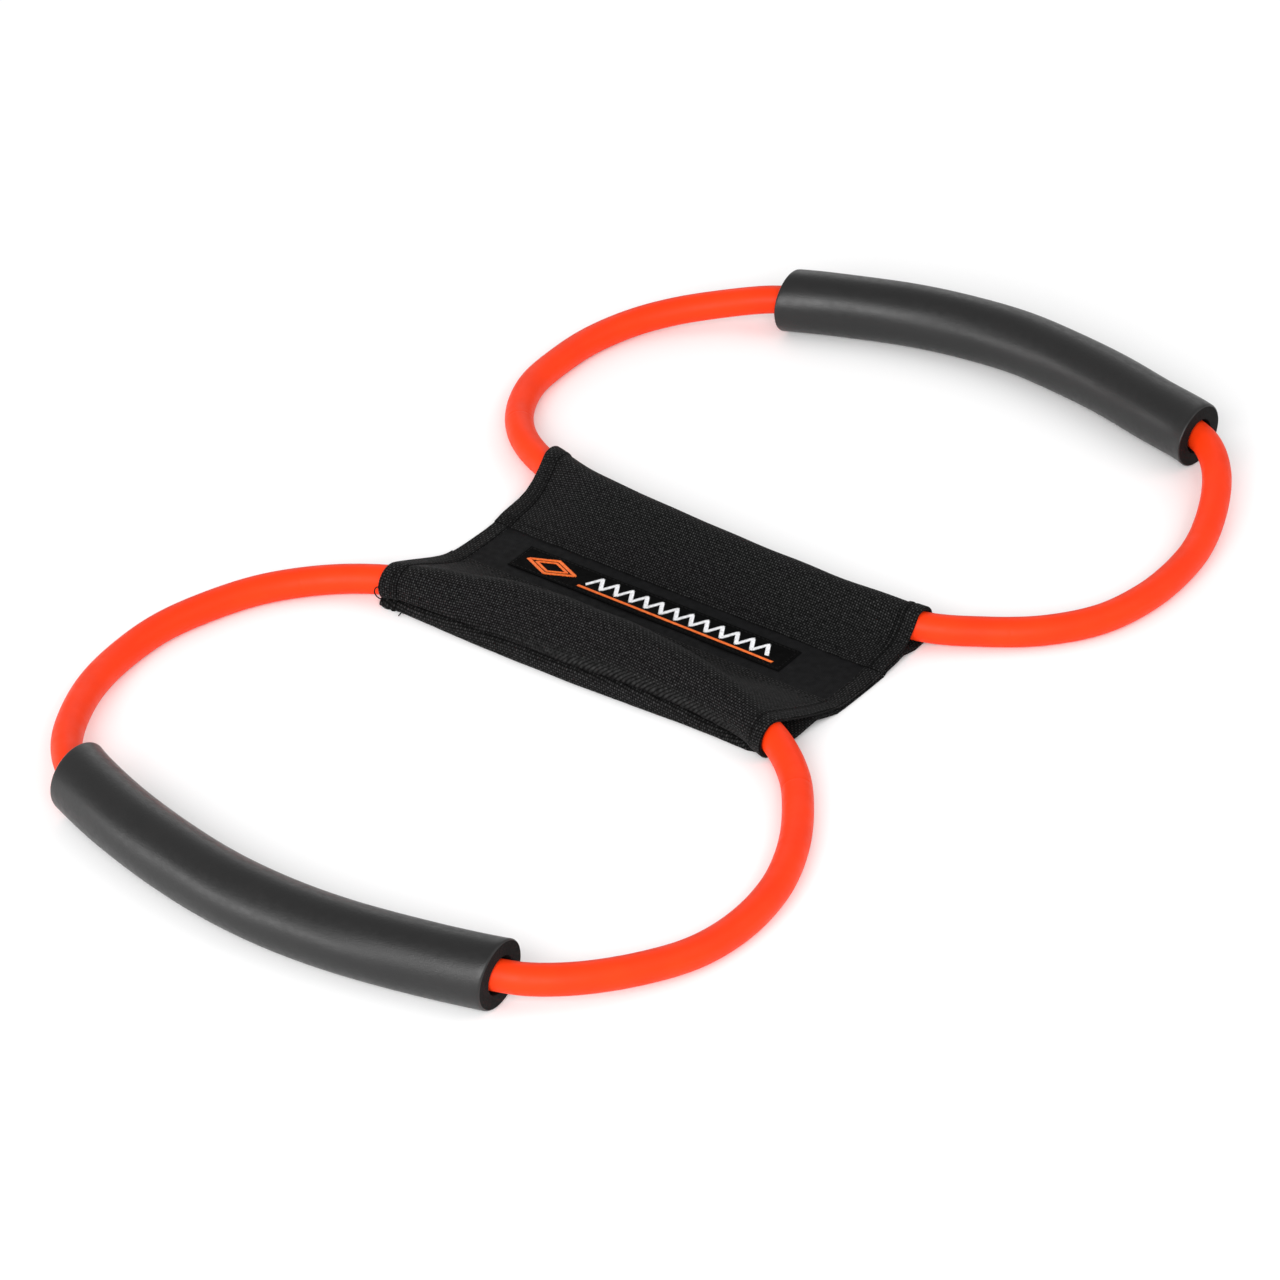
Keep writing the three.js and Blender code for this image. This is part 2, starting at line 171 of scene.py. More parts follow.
def smooth_line(points, closed=False, per_span=40):
    """Points in metres along a centripetal Catmull-Rom curve through points in millimetres."""
    knots = np.array(points, float) * MM
    count = len(knots)
    found = []
    for i in range(count if closed else count - 1):
        if closed:
            p = [knots[(i + k) % count] for k in (-1, 0, 1, 2)]
        else:
            before = knots[i - 1] if i > 0 else 2 * knots[0] - knots[1]
            after = knots[i + 2] if i + 2 < count else 2 * knots[-1] - knots[-2]
            p = [before, knots[i], knots[i + 1], after]
        t = [0.0]
        for k in range(3):
            t.append(t[-1] + math.sqrt(np.linalg.norm(p[k + 1] - p[k])))
        for now in np.linspace(t[1], t[2], per_span, endpoint=False):
            level = p
            for width in (1, 2, 3):
                next_level = []
                for k in range(len(level) - 1):
                    first, last = (k, k + width) if width < 3 else (1, 2)
                    share = (now - t[first]) / (t[last] - t[first])
                    next_level.append(level[k] * (1 - share) + level[k + 1] * share)
                level = next_level
            found.append(level[0])
    if not closed:
        found.append(knots[-1])
    return np.array(found)


class Line:
    """A polyline measured by distance along it; a closed one goes round again."""

    def __init__(self, points, closed=False):
        self.closed = closed
        self.points = np.vstack([points, points[:1]]) if closed else np.asarray(points)
        steps = np.linalg.norm(np.diff(self.points, axis=0), axis=1)
        self.distance = np.concatenate([[0], np.cumsum(steps)])
        self.length = self.distance[-1]

    def at(self, distance):
        if self.closed:
            distance = np.mod(distance, self.length)
        return np.stack([np.interp(distance, self.distance, self.points[:, k]) for k in range(3)], -1)

    def tangent(self, distance, reach=1 * MM):
        ahead = self.at(np.asarray(distance) + reach) - self.at(np.asarray(distance) - reach)
        return unit(ahead)

    def at_x(self, x):
        """The line's y and z where it passes x; the line runs from right to left."""
        xs = self.points[::-1, 0]
        return np.interp(x, xs, self.points[::-1, 1]), np.interp(x, xs, self.points[::-1, 2])


def unit(vectors):
    return vectors / np.linalg.norm(vectors, axis=-1, keepdims=True)


def smooth_step(value, start, end):
    t = np.clip((value - start) / (end - start), 0, 1)
    return t * t * (3 - 2 * t)


def mesh_object(name, points, faces, smooth_angle=50):
    """A closed mesh with its faces outward, shaded smooth except over sharp edges."""
    mesh = bpy.data.meshes.new(name)
    mesh.from_pydata(np.asarray(points).reshape(-1, 3).tolist(), [], faces)
    work = bmesh.new()
    work.from_mesh(mesh)
    bmesh.ops.recalc_face_normals(work, faces=work.faces)
    work.to_mesh(mesh)
    work.free()
    mesh.shade_smooth()
    mesh.set_sharp_from_angle(angle=math.radians(smooth_angle))
    made = bpy.data.objects.new(name, mesh)
    bpy.context.scene.collection.objects.link(made)
    return made


def grid_faces(rows, columns, wrap_rows=False, wrap_columns=False, first=0):
    faces = []
    for i in range(rows if wrap_rows else rows - 1):
        for j in range(columns if wrap_columns else columns - 1):
            a, b = i * columns, ((i + 1) % rows) * columns
            c = (j + 1) % columns
            faces.append((first + a + j, first + a + c, first + b + c, first + b + j))
    return faces


def turned(name, line, profile, sides, radius_at=None, lean=None):
    """A closed profile of (distance along the line, radius) turned round the line. lean gives the share by
    which a section turns from square to the line to square to X, as soft foam shears when it bends."""
    distance = np.array([p[0] for p in profile])
    radius = np.array([p[1] for p in profile])
    centre = line.at(distance)
    tangent = line.tangent(distance, 3 * MM)
    side = unit(np.cross(tangent, (0, 0, 1)))
    up = np.cross(side, tangent)
    if lean is not None:
        share = lean(distance)[:, None]
        leaned = unit(np.cross(tangent * (1 - share) + np.array([1.0, 0, 0]) * share, (0, 0, 1)))
        side = leaned / np.sum(leaned * side, axis=1, keepdims=True)
    angle = np.linspace(0, 2 * math.pi, sides, endpoint=False)
    across = np.cos(angle)[None, :, None] * side[:, None] + np.sin(angle)[None, :, None] * up[:, None]
    reach = np.repeat(radius[:, None], sides, 1)
    if radius_at is not None:
        reach = radius_at(distance[:, None], angle[None, :], reach)
    points = centre[:, None] + reach[:, :, None] * across
    return mesh_object(name, points, grid_faces(len(profile), sides, True, True))


def pipe_profile(start, end, outside, inside, step, edge):
    """Outward along the outside with rounded rims, and back along the bore."""
    count = max(2, int((end - start - 2 * edge) / step))
    rim = [(1 - math.cos(a), math.sin(a)) for a in np.linspace(0, math.pi / 2, 5)]
    profile = [(start + edge * x, outside - edge * (1 - y)) for x, y in rim]
    profile += [(s, outside) for s in np.linspace(start + edge, end - edge, count)[1:-1]]
    profile += [(end - edge * x, outside - edge * (1 - y)) for x, y in reversed(rim)]
    profile += [(s, inside) for s in np.linspace(end, start, count)]
    return profile


def point_vectors(obj, name, values):
    """A vector for each point of a mesh, for its material to read."""
    attribute = obj.data.attributes.new(name, "FLOAT_VECTOR", "POINT")
    attribute.data.foreach_set("vector", np.asarray(values, np.float32).ravel())


# ---------------------------------------------------------------- materials


def node(tree, kind, inputs=None, **settings):
    made = tree.nodes.new(kind)
    for key, value in settings.items():
        setattr(made, key, value)
    for key, value in (inputs or {}).items():
        if isinstance(value, bpy.types.NodeSocket):
            tree.links.new(value, made.inputs[key])
        else:
            made.inputs[key].default_value = value
    return made


def maths(tree, operation, first, second=0.0):
    return node(tree, "ShaderNodeMath", {0: first, 1: second}, operation=operation).outputs[0]


def noise(tree, place, scale, detail=3.0, roughness=0.5):
    inputs = {"Vector": place, "Scale": scale, "Detail": detail, "Roughness": roughness}
    return node(tree, "ShaderNodeTexNoise", inputs).outputs["Fac"]


def mix_colours(tree, share, first, second):
    made = node(tree, "ShaderNodeMix", data_type="RGBA")
    for socket, value in ((made.inputs[0], share), (made.inputs[6], first), (made.inputs[7], second)):
        if isinstance(value, bpy.types.NodeSocket):
            tree.links.new(value, socket)
        else:
            socket.default_value = value
    return made.outputs[2]


def spread(tree, value, low, high, to_low=0.0, to_high=1.0):
    inputs = {"Value": value, "From Min": low, "From Max": high, "To Min": to_low, "To Max": to_high}
    return node(tree, "ShaderNodeMapRange", inputs).outputs[0]


def colour(red, green, blue):
    """An sRGB colour, 0 to 255, as the shader wants it."""
    linear = [c / 12.92 if c <= 0.04045 else ((c + 0.055) / 1.055) ** 2.4 for c in
              (red / 255, green / 255, blue / 255)]
    return (*linear, 1)


def new_material(name, **fixed):
    made = bpy.data.materials.new(name)
    made.use_nodes = True
    shader = made.node_tree.nodes["Principled BSDF"]
    for key, value in fixed.items():
        shader.inputs[key.replace("_", " ")].default_value = value
    return made, made.node_tree, shader


def finish_material(tree, shader, base, roughness, height, distance, strength=1.0):
    bump = node(tree, "ShaderNodeBump", {"Strength": strength, "Distance": distance, "Height": height})
    tree.links.new(base, shader.inputs["Base Color"])
    tree.links.new(roughness, shader.inputs["Roughness"])
    tree.links.new(bump.outputs[0], shader.inputs["Normal"])


def object_place(tree):
    return node(tree, "ShaderNodeTexCoord").outputs["Object"]


def rubber_material():
    made, tree, shader = new_material("orange_rubber", Specular_IOR_Level=0.16)
    place = object_place(tree)
    cloudy = noise(tree, place, 60)
    fine = noise(tree, place, 1500, 2)
    base = mix_colours(tree, spread(tree, cloudy, 0.3, 0.7), colour(238, 56, 9), colour(230, 51, 7))
    rough = spread(tree, noise(tree, place, 220), 0.3, 0.7, 0.45, 0.57)
    finish_material(tree, shader, base, rough, fine, 0.03 * MM, 0.35)
    return made


def foam_material(name, light, dark, gloss, rough_low, rough_high, cell_depth):
    made, tree, shader = new_material(name, Specular_IOR_Level=gloss)
    place = object_place(tree)
    cells = node(tree, "ShaderNodeTexVoronoi", {"Vector": place, "Scale": 1900.0})
    blotches = noise(tree, place, 90, 4)
    base = mix_colours(tree, spread(tree, blotches, 0.3, 0.7), light, dark)
    rough = spread(tree, noise(tree, place, 400), 0.3, 0.7, rough_low, rough_high)
    grain = maths(tree, "ADD", cells.outputs["Distance"], noise(tree, place, 700, 3))
    finish_material(tree, shader, base, rough, grain, cell_depth, 0.6)
    return made


def cloth_place(tree, wander):
    """Cloth coordinates, moved about a little so that no thread runs dead straight."""
    place = node(tree, "ShaderNodeAttribute", attribute_name="cloth").outputs["Vector"]
    drift = node(tree, "ShaderNodeTexNoise", {"Vector": place, "Scale": 140.0}).outputs["Color"]
    centred = node(tree, "ShaderNodeVectorMath", {0: drift, 1: (0.5, 0.5, 0.5)}, operation="SUBTRACT")
    small = node(tree, "ShaderNodeVectorMath", {0: centred.outputs[0], "Scale": wander}, operation="SCALE")
    moved = node(tree, "ShaderNodeVectorMath", {0: place, 1: small.outputs[0]}, operation="ADD")
    split = node(tree, "ShaderNodeSeparateXYZ", {0: moved.outputs[0]})
    return place, split.outputs[0], split.outputs[1]


def wave(tree, distance, pitch):
    return maths(tree, "SINE", maths(tree, "MULTIPLY", distance, math.pi / pitch))


def woven_material(name, dark, light, gloss, pitch, depth):
    """A plain weave: each thread comes up as a small dome, and goes under at the next crossing."""
    made, tree, shader = new_material(name, Specular_IOR_Level=gloss, Sheen_Weight=0.035,
                                      Sheen_Roughness=0.35)
    place, along, across = cloth_place(tree, 0.7 * MM)
    crossing = maths(tree, "MULTIPLY", wave(tree, along, pitch), wave(tree, across, pitch))
    dome = maths(tree, "POWER", maths(tree, "ABSOLUTE", crossing), 1.2)
    over = spread(tree, crossing, -0.4, 0.4, 0.45, 1.0)
    threads = maths(tree, "MULTIPLY", dome, over)
    # The attribute's second part is painted shade: the cloth's colour is darkened in its seam and hem
    # creases.
    gather_and_painted_shade = node(tree, "ShaderNodeAttribute", attribute_name="gather_and_painted_shade").outputs["Vector"]
    gather_and_shade_split = node(tree, "ShaderNodeSeparateXYZ", {0: gather_and_painted_shade})
    slant = maths(tree, "ADD", along, across)
    rib = maths(tree, "MULTIPLY", maths(tree, "ABSOLUTE", wave(tree, slant, GATHER_PITCH)), 0.55)
    left = maths(tree, "MULTIPLY", threads, maths(tree, "SUBTRACT", 1.0, gather_and_shade_split.outputs[0]))
    shade = maths(tree, "ADD", left, maths(tree, "MULTIPLY", rib, gather_and_shade_split.outputs[0]))
    worn = spread(tree, noise(tree, place, 700, 4), 0.35, 0.7, 0.25, 1.0)
    # Painted shade: darker colour where the sleeve marks its seam groove and hem lines.
    unshaded_share = maths(tree, "SUBTRACT", 1.0, gather_and_shade_split.outputs[1])
    shown = maths(tree, "MULTIPLY", maths(tree, "MULTIPLY", shade, worn), unshaded_share)
    base = mix_colours(tree, shown, dark, light)
    rough = spread(tree, noise(tree, place, 300), 0.3, 0.7, 0.72, 0.9)
    fuzz = maths(tree, "MULTIPLY", noise(tree, place, 3000, 2), 0.35)
    finish_material(tree, shader, base, rough, maths(tree, "ADD", shade, fuzz), depth)
    return made


def ribbed_material(name, dark, light, gloss, pitch, depth):
    """A fine repp: close ribs across the cloth, with the weft just showing."""
    made, tree, shader = new_material(name, Specular_IOR_Level=gloss)
    place, along, across = cloth_place(tree, 0.25 * MM)
    rib = maths(tree, "ABSOLUTE", wave(tree, along, pitch))
    weft = maths(tree, "ABSOLUTE", wave(tree, across, pitch * 0.6))
    height = maths(tree, "ADD", maths(tree, "MULTIPLY", rib, 0.7), maths(tree, "MULTIPLY", weft, 0.3))
    worn = spread(tree, noise(tree, place, 350, 4), 0.3, 0.75, 0.5, 1.0)
    # Painted shade: the rib tops are painted lighter and the hollows between them darker.
    base = mix_colours(tree, maths(tree, "MULTIPLY", height, worn), dark, light)
    rough = spread(tree, noise(tree, place, 300), 0.3, 0.7, 0.62, 0.8)
    finish_material(tree, shader, base, rough, height, depth)
    return made


def thread_material(name, dark, light, gloss):
    """Twisted thread."""
    made, tree, shader = new_material(name, Specular_IOR_Level=gloss)
    place = object_place(tree)
    strands = node(tree, "ShaderNodeTexWave", {"Vector": place, "Scale": 900.0, "Distortion": 1.5})
    patches = noise(tree, place, 900, 3)
    base = mix_colours(tree, spread(tree, patches, 0.3, 0.7), dark, light)
    rough = spread(tree, patches, 0.3, 0.7, 0.4, 0.6)
    finish_material(tree, shader, base, rough, strands.outputs["Fac"], 0.05 * MM, 0.5)
    return made


def plastic_material():
    made, tree, shader = new_material("black_plastic", Specular_IOR_Level=0.5)
    place = object_place(tree)
    base = mix_colours(tree, noise(tree, place, 200), colour(20, 20, 22), colour(34, 34, 36))
    rough = spread(tree, noise(tree, place, 600), 0.3, 0.7, 0.35, 0.5)
    finish_material(tree, shader, base, rough, noise(tree, place, 1500), 0.03 * MM, 0.4)
    return made


def floor_material():
    made, tree, shader = new_material("pale_floor", Specular_IOR_Level=0.1)
    place = object_place(tree)
    base = mix_colours(tree, noise(tree, place, 3), colour(250, 250, 250), colour(252, 252, 252))
    rough = spread(tree, noise(tree, place, 40), 0.3, 0.7, 0.85, 0.95)
    finish_material(tree, shader, base, rough, noise(tree, place, 400), 0.05 * MM, 0.1)
    return made


RUBBER = rubber_material()
FOAM = foam_material("foam_skin", colour(10, 9, 9), colour(6, 6, 6), 0.5, 0.36, 0.46, 0.05 * MM)
CUT_FOAM = foam_material("foam_cut", colour(14, 14, 14), colour(8, 8, 8), 0.2, 0.85, 0.95, 0.35 * MM)
WOVEN = woven_material("oxford_cloth", colour(1, 1, 1), colour(70, 70, 70), 0.05, WEAVE_PITCH, 0.25 * MM)
RIBBED = ribbed_material("repp_cloth", colour(2, 2, 2), colour(34, 34, 35), 0.07, RIB_PITCH, 0.1 * MM)
SATIN = ribbed_material("label_satin", colour(1, 1, 1), colour(15, 15, 15), 0.03, 0.4 * MM, 0.06 * MM)
BLACK = thread_material("black_sewing_thread", colour(1, 1, 1), colour(8, 8, 8), 0.12)
ORANGE = thread_material("orange_sewing_thread", colour(222, 92, 24), colour(244, 124, 46), 0.35)
WHITE = thread_material("white_sewing_thread", colour(214, 214, 216), colour(250, 250, 252), 0.35)
PLASTIC = plastic_material()


def dress(obj, material, slot_name, body, *nodes):
    """One finish, a slot name that is not used, the body it rides on, and the CAD nodes it stands for."""
    obj.data.materials.append(material)
    if body:
        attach(obj, body)
    if nodes:
        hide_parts(*nodes)
    return obj


# ---------------------------------------------------------------- tubes and grips


def tube_piece(name, route, start, end, bodies, blend_from, blend_to):
    profile = pipe_profile(start, end, TUBE_RADIUS, TUBE_BORE_RADIUS, TUBE_STEP, TUBE_EDGE)
    piece = turned(name, route, profile, TUBE_SIDES)
    dress(piece, RUBBER, "tube_rubber", None)
    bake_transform(piece)
    path = route.at(np.linspace(start, end, 60))
    return piece


def foam_radius(distance, angle, reach):
    """Soft foam: barely uneven outside, and its bore a little wider between the two ends."""
    outside = smooth_step(reach, GRIP_BORE_RADIUS + 1 * MM, GRIP_RADIUS - 1 * MM)
    uneven = np.sin(distance * 95 + 2 * np.sin(angle)) * np.sin(2 * angle + distance * 40)
    from_end = GRIP_LENGTH / 2 - np.abs(distance)
    widened = (reach < GRIP_BORE_RADIUS + 0.5 * MM) * smooth_step(from_end, 2 * MM, 12 * MM)
    return reach - outside * (0.12 * MM + 0.1 * MM * uneven) + widened * 1.2 * MM


def foam_lean(distance):
    """How much the foam's sections shear, which is most at its two ends."""
    return 0.8 * smooth_step(np.abs(distance), GRIP_LENGTH / 2 - 55 * MM, GRIP_LENGTH / 2)


def grip(side, route):
    """A foam grip, with its two cut ends and its bore in the matt finish."""
    half = GRIP_LENGTH / 2
    profile = pipe_profile(-half, half, GRIP_RADIUS, GRIP_BORE_RADIUS, GRIP_STEP, GRIP_EDGE)
    piece = turned(f"{side}_foam_grip", route, profile, GRIP_SIDES, foam_radius, foam_lean)
    dress(piece, FOAM, "grip_foam", f"{side}_foam", f"{side}_grip")
    piece.data.materials.append(CUT_FOAM)
    distance = np.array([p[0] for p in profile])
    radius = np.array([p[1] for p in profile])
    following = np.arange(len(profile)) + 1
    following[-1] = 0
    skin = GRIP_RADIUS - 0.75 * GRIP_EDGE
    cut = (radius < skin) | (radius[following] < skin)
    for polygon in piece.data.polygons:
        row = min(v // GRIP_SIDES for v in polygon.vertices)
        if max(v // GRIP_SIDES for v in polygon.vertices) - row > 1:
            row = len(profile) - 1
        polygon.material_index = int(cut[row])
    return piece


def add_loop(side, to_sleeve, sleeve, to_grip, away):
    """A loop's tube in four pieces, its grip and its plug. Each half of the tube is cut in two a little
    outside its sleeve's mouth: a piece through the sleeve, and a piece on through the grip to the plug."""
    route = Line(smooth_line(to_sleeve + sleeve + to_grip, closed=True), closed=True)
    mouths = []
    for end in (sleeve[0], sleeve[-1]):
        gap = np.linalg.norm(route.points - np.array(end) * MM, axis=1)
        mouths.append(route.distance[int(gap.argmin())])
    right_mouth, left_mouth = mouths
    middle = (right_mouth + left_mouth) / 2
    panel_to_loop = ("panel", f"{side}_loop")
    loop_to_grip = (f"{side}_loop", f"{side}_joint")
    for hand, mouth, outward in (("right", right_mouth, -1), ("left", left_mouth, 1)):
        bend_end = mouth + outward * BEND_LENGTH
        tube_end = PLUG_HALF_COLLAR if outward < 0 else route.length - PLUG_HALF_COLLAR
        bend_from, bend_to = route.at(mouth + outward * 3 * MM), route.at(bend_end - outward * 2 * MM)
        core = sorted((middle, bend_end))
        tube_piece(f"{side}_{hand}_tube_in_sleeve", route, *core, panel_to_loop,
                                          bend_from.tolist(), bend_to.tolist())
        run = sorted((tube_end, bend_end))
        grip_end = route.at(-outward * (GRIP_LENGTH / 2 + STRETCH_CLEARANCE))
        reach = np.dot(grip_end - bend_to, away) * np.array(away)
        tube_piece(f"{side}_{hand}_tube", route, *run, loop_to_grip,
                                         bend_to.tolist(), (bend_to + reach).tolist())
    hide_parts(f"{side}_tube")
    grip(side, route)
    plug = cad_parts[f"{side}_plug"]
    plug.data.materials.clear()
    plug.data.materials.append(PLASTIC)


add_loop("near", NEAR_TO_SLEEVE, NEAR_SLEEVE, NEAR_TO_GRIP, (0, -1, 0))
add_loop("far", FAR_TO_SLEEVE, FAR_SLEEVE, FAR_TO_GRIP, (0.06134, 0.99812, 0))


# ---------------------------------------------------------------- cloth


# The panel's two short edges, as (y, x) in millimetres
LEFT_EDGE = [(-60, -90.2), (-45, -90), (-20, -88.4), (5, -87.6), (28, -87.2), (50, -88.6), (75, -90)]
RIGHT_EDGE = [
    (-60, 81), (-45, 81.8), (-30, 84), (-10, 86.2), (5, 86.8), (30, 87), (50, 86.6), (75, 86.6),
]
LEFT_CURVE = smooth_line([(x, y, 0) for y, x in LEFT_EDGE])
RIGHT_CURVE = smooth_line([(x, y, 0) for y, x in RIGHT_EDGE])


def left_edge(y):
    return np.interp(y, LEFT_CURVE[:, 1], LEFT_CURVE[:, 0])


def right_edge(y):
    return np.interp(y, RIGHT_CURVE[:, 1], RIGHT_CURVE[:, 0])


def rows_along(length, step, fold=None):
    """Distances across a sheet: close together at its rounded edges, and at the step of a hem."""
    half = list(EDGE_STEPS)
    if fold:
        half += [fold - 0.9 * MM, fold - 0.3 * MM, fold + 0.2 * MM, fold + 0.8 * MM]
    half += list(np.arange(half[-1] + step, length / 2, step))
    if fold:
        half += list(np.arange(1.5 * MM, fold - 1.2 * MM, step))
    half = np.array(sorted(half))
    return np.unique(np.round(np.concatenate([half, length - half]), 7))


def rounded(distance, length):
    """How much of its thickness a sheet has, by distance from its two edges."""
    near_edge = np.minimum(distance, length - distance)
    return np.sqrt(1 - (1 - np.clip(near_edge / SHEET_ROUNDING, 0, 1)) ** 2 * 0.96)


class Sheet:
    """A sheet of cloth: a grid of points down its middle, its thickness, and its cloth coordinates."""

    def __init__(self, middle, thickness, along, across):
        rows = np.gradient(middle, axis=0)
        columns = np.gradient(middle, axis=1)
        self.normal = unit(np.cross(rows, columns))
        if self.normal[len(middle) // 2, len(middle[0]) // 4][2] < 0:
            self.normal = -self.normal
        self.middle = middle
        self.thickness = thickness
        self.along = along
        self.across = across
        self.gathered = np.zeros_like(along)
        # How much painted shade darkens the cloth's colour, in its creases.
        self.painted_crease_shade = np.zeros_like(along)

    def build(self, name):
        count_rows, count_columns = self.middle.shape[:2]
        half = self.normal * self.thickness[..., None] / 2
        top, bottom = self.middle + half, self.middle - half
        size = count_rows * count_columns
        faces = grid_faces(count_rows, count_columns) + grid_faces(count_rows, count_columns, first=size)
        index = np.arange(size).reshape(count_rows, count_columns)
        rim = np.concatenate([index[0], index[1:, -1], index[-1, -2::-1], index[-2:0:-1, 0]])
        for a, b in zip(rim, np.roll(rim, -1)):
            faces.append((int(a), int(b), int(b) + size, int(a) + size))
        made = mesh_object(name, np.concatenate([top.reshape(-1, 3), bottom.reshape(-1, 3)]), faces, 75)
        place = np.stack([self.along, self.across, np.zeros_like(self.along)], -1).reshape(-1, 3)
        point_vectors(made, "cloth", np.concatenate([place, place + (0.31, 0.17, 0)]))
        gather_and_painted_shade = np.stack([self.gathered, self.painted_crease_shade, np.zeros_like(self.along)], -1).reshape(-1, 3)
        point_vectors(made, "gather_and_painted_shade", np.concatenate([gather_and_painted_shade, gather_and_painted_shade]))
        self.top = top
        return made

    def on_top(self, row_share, column_share):
        """A point and the normal on the top face, by share of its rows and columns."""
        i = np.clip(row_share, 0, 1) * (self.middle.shape[0] - 1)
        j = np.clip(column_share, 0, 1) * (self.middle.shape[1] - 1)
        i0, j0 = min(int(i), self.middle.shape[0] - 2), min(int(j), self.middle.shape[1] - 2)
        fi, fj = i - i0, j - j0
        found = []
        for grid in (self.top, self.normal):
            low = grid[i0, j0] * (1 - fj) + grid[i0, j0 + 1] * fj
            high = grid[i0 + 1, j0] * (1 - fj) + grid[i0 + 1, j0 + 1] * fj
            found.append(low * (1 - fi) + high * fi)
        return found[0], unit(found[1])


def smoothed(points, passes):
    """Rounds a polyline's corners, keeping its ends."""
    for _ in range(passes):
        points[1:-1] = points[1:-1] * 0.5 + (points[:-2] + points[2:]) * 0.25
    return points


def section_points(centre, radius, seam_q, outer_seam, skirt_q, sag, hollow, raised):
    """The middle of the sleeve's cloth in a plane across it, q outward and z up, in even steps, with the
    distances along it of the outer seam and the skirt's edge. The cloth from the inner seam lies flat for
    about the hollow's length, and then climbs the tube."""
    q, z = centre
    inner = np.array([seam_q - SEAM_LAP, SEAM_TOP_Z])
    foot = inner + np.array([hollow, 0])
    outer = np.array(outer_seam)

    def tangent_angle(point, side):
        away = point - (q, z)
        return math.atan2(away[1], away[0]) + side * math.acos(min(1, radius / np.hypot(*away)))

    start = tangent_angle(foot, -1)
    end = tangent_angle(outer, 1)
    while end > start:
        end -= 2 * math.pi
    angles = np.linspace(start, end, 16)
    arc = [np.array([q + radius * math.cos(a), z + radius * math.sin(a)]) for a in angles]
    keys = [inner]
    for share in (0.15, 0.3, 0.45, 0.6, 0.75, 0.88):
        drop = sag * math.sin(math.pi * share ** (1 + 0.12 * sag / MM))
        climb = inner * (1 - share) ** 2 + foot * 2 * share * (1 - share) + arc[0] * share ** 2
        straight = inner + (arc[0] - inner) * share
        point = (climb if hollow else straight) - (0, drop)
        keys.append(np.maximum(point, (0, SEAM_TOP_Z)))
    slope = list(keys)
    keys += arc
    bulge = (arc[-1] + outer) / 2 + np.array([0.3, 0.3]) * MM
    keys += [bulge, outer]
    seam_key = len(keys) - 1
    bottom = np.array([skirt_q, 0.8 * MM])
    keys += [(outer + bottom) / 2 + np.array([0.5, 0.2]) * MM, bottom]
    skirt_key = len(keys) - 1
    keys.append(np.array([skirt_q - 1.2 * MM, BACKING_Z]))
    keys.append(np.array([q - radius * 0.6, BACKING_Z]))
    for point in reversed(slope[1:-2]):
        under = max(BACKING_Z, point[1] - 2.3 * MM)
        under_z = BACKING_Z + (under - BACKING_Z) * raised
        keys.append(np.array([min(point[0], keys[-1][0] - 0.5 * MM), under_z]))
    keys.append(np.array([seam_q + 1 * MM, BACKING_Z]))
    keys = np.array(keys)
    gaps = np.concatenate([[0], np.cumsum(np.linalg.norm(np.diff(keys, axis=0), axis=1))])
    fine = np.arange(0, gaps[-1], SECTION_STEP)
    line = np.stack([np.interp(fine, gaps, keys[:, k]) for k in range(2)], -1)
    return smoothed(line, 14), gaps[seam_key], gaps[skirt_key]


def ripples(along, across, seed):
    """Slow, uneven waves between -1 and 1."""
    rng = np.random.default_rng(seed)
    total = np.zeros_like(along)
    for _ in range(6):
        angle = rng.uniform(-0.9, 0.9)
        pitch = rng.uniform(22, 60) * MM
        place = (along * math.cos(angle) + across * math.sin(angle)) / pitch
        total += np.sin(2 * math.pi * place + rng.uniform(0, 6.3)) / 6
    return total * 1.6


def hem_row(from_end):
    """1 along the line where a hem is stitched, by distance from the short edge."""
    return np.exp(-(((from_end - (HEM_WIDTH - HEM_STITCH_INSET)) / (0.5 * MM)) ** 2))


def hem_edge(from_end):
    """1 where the folded hem ends and the cloth steps down."""
    return np.exp(-(((from_end - HEM_WIDTH - 0.2 * MM) / (0.35 * MM)) ** 2))


def sleeve_grids(along, tube_line, seam_line, skirt_line, seam_y, radius, end_sags, hollow):
    """A sleeve's middle surface, one section at a time from left to right, and distances over it."""
    outward = math.copysign(1, seam_y - BAND_CENTRE_Y)
    length = along[-1]
    grids = {key: [] for key in ("middle", "across", "from_seam", "from_skirt", "total")}
    for distance in along:
        share = distance / length
        x = (PANEL_LEFT - 2 * MM) * (1 - share) + (PANEL_RIGHT - 2 * MM) * share
        centre_y, centre_z = tube_line.at_x(x)
        outer_y, outer_z = seam_line.at_x(x)
        skirt_y, _ = skirt_line.at_x(x)
        left_share = 1 - smooth_step(distance, 0, 45 * MM)
        right_share = 1 - smooth_step(length - distance, 0, 45 * MM)
        sag = (0.6 + left_share * end_sags[0] + right_share * end_sags[1]) * MM
        end_share = max(left_share, right_share)
        line, seam_at, skirt_at = section_points((centre_y * outward, centre_z), radius, seam_y * outward,
                                     (outer_y * outward, outer_z), skirt_y * outward, sag,
                                     hollow * (1 - 0.85 * end_share), end_share)
        steps = np.concatenate([[0], np.cumsum(np.linalg.norm(np.diff(line, axis=0), axis=1))])
        total = steps[-1]
        edges = np.array(EDGE_STEPS)
        inner = np.linspace(edges[-1], total - edges[-1], SECTION_COLUMNS)
        columns = np.concatenate([edges[:-1], inner, total - edges[:-1][::-1]])
        q = np.interp(columns, steps, line[:, 0])
        z = np.interp(columns, steps, line[:, 1])
        y = q * outward
        xs = left_edge(y) * (1 - share) + right_edge(y) * share
        grids["middle"].append(np.stack([xs, y, z], -1))
        grids["across"].append(columns)
        grids["from_seam"].append(columns - seam_at)
        grids["from_skirt"].append(columns - skirt_at)
        grids["total"].append(np.full_like(columns, total))
    return {key: np.array(value) for key, value in grids.items()}


